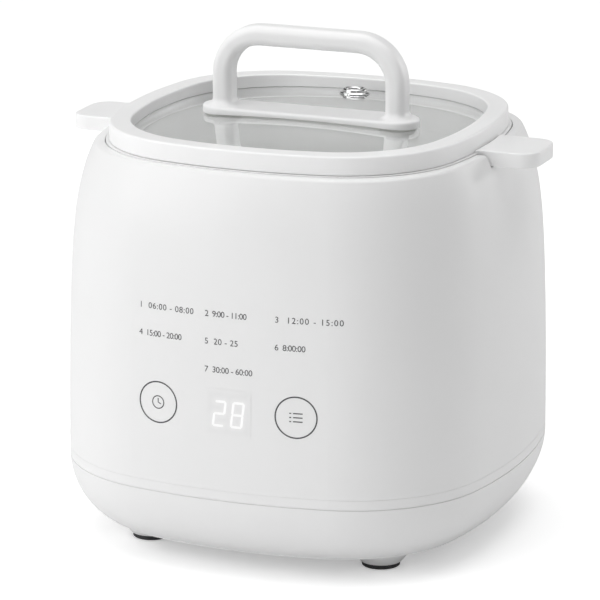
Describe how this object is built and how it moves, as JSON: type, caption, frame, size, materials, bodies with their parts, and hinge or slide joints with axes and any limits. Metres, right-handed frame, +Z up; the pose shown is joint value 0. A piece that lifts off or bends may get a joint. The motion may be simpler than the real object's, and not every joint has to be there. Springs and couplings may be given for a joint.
{
  "type": "electric egg cooker",
  "caption": "Countertop electric egg cooker: barrel-shaped white body, lift-out pot with side ears and egg rack, and a framed glass lid with a bar handle and steam vent.",
  "frame": {"origin": "centre of the footprint, on the table, under the foot pads", "axes": "+Z up, -Y is the front with the display, X runs from ear to ear along the lid handle"},
  "size_m": [0.182, 0.167, 0.1859],
  "materials": {
    "shell_plastic": "satin",
    "lid_plastic": "satin",
    "inner_plastic": "matte",
    "rack_plastic": "satin",
    "dark_plastic": "matte",
    "relay_plastic": "satin",
    "display_plastic": "gloss",
    "board_green": "satin",
    "foot_rubber": "matte",
    "seal_silicone": "matte",
    "screw_steel": "gloss",
    "spring_steel": "satin",
    "sheet_steel": "satin",
    "tube_steel": "satin",
    "vent_steel": "gloss",
    "cast_aluminium": "satin",
    "coated_pot": "satin",
    "brass_tabs": "satin",
    "lid_glass": "gloss"
  },
  "bodies": {
    "housing": {"outer_shell": "shell_plastic", "base_cover": "shell_plastic", "bottom_plate": "shell_plastic", "foot_pads": "foot_rubber", "base_screws": "screw_steel", "inner_housing": "inner_plastic", "heat_reflector": "sheet_steel", "heating_plate": "cast_aluminium", "heater_screws": "screw_steel", "heating_element": "tube_steel", "sensor_guide": "inner_plastic", "sensor_cup": "inner_plastic", "sensor_spring": "spring_steel", "thermal_cutout": "dark_plastic", "control_board": "board_green", "control_screws": "screw_steel", "led_display": "display_plastic", "light_shade": "dark_plastic", "touch_springs": "spring_steel", "power_board": "board_green", "board_screws": "screw_steel", "relay": "relay_plastic", "transformer": "dark_plastic", "capacitors": "dark_plastic", "fuse": "dark_plastic", "buzzer": "dark_plastic", "board_tabs": "brass_tabs", "inlet_body": "dark_plastic", "inlet_pins": "brass_tabs", "inlet_screws": "screw_steel"},
    "sensor": {"sensor_plunger": "cast_aluminium"},
    "pot": {"pot": "coated_pot", "pot_collar": "lid_plastic"},
    "rack": {"egg_rack": "rack_plastic"},
    "lid": {"lid_ring": "lid_plastic", "lid_glass": "lid_glass", "lid_clamp": "lid_plastic", "lid_gasket": "seal_silicone", "handle": "lid_plastic", "handle_gasket": "seal_silicone", "handle_washers": "seal_silicone", "handle_screws": "screw_steel", "vent_eyelet": "vent_steel"}
  },
  "joints": [
    {"name": "pot_lift", "type": "slide", "parent": "housing", "child": "pot", "axis": [0, 0, 1], "range_m": [0, 0.1]},
    {"name": "rack_lift", "type": "slide", "parent": "pot", "child": "rack", "axis": [0, 0, 1], "range_m": [0, 0.09]},
    {"name": "lid_lift", "type": "slide", "parent": "rack", "child": "lid", "axis": [0, 0, 1], "range_m": [0, 0.08]},
    {"name": "sensor_press", "type": "slide", "parent": "housing", "child": "sensor", "axis": [0, 0, 1], "range_m": [-0.002, 0], "stiffness_N_per_m": 500, "springref_m": 0.002, "deforming": ["sensor_spring"]}
  ]
}
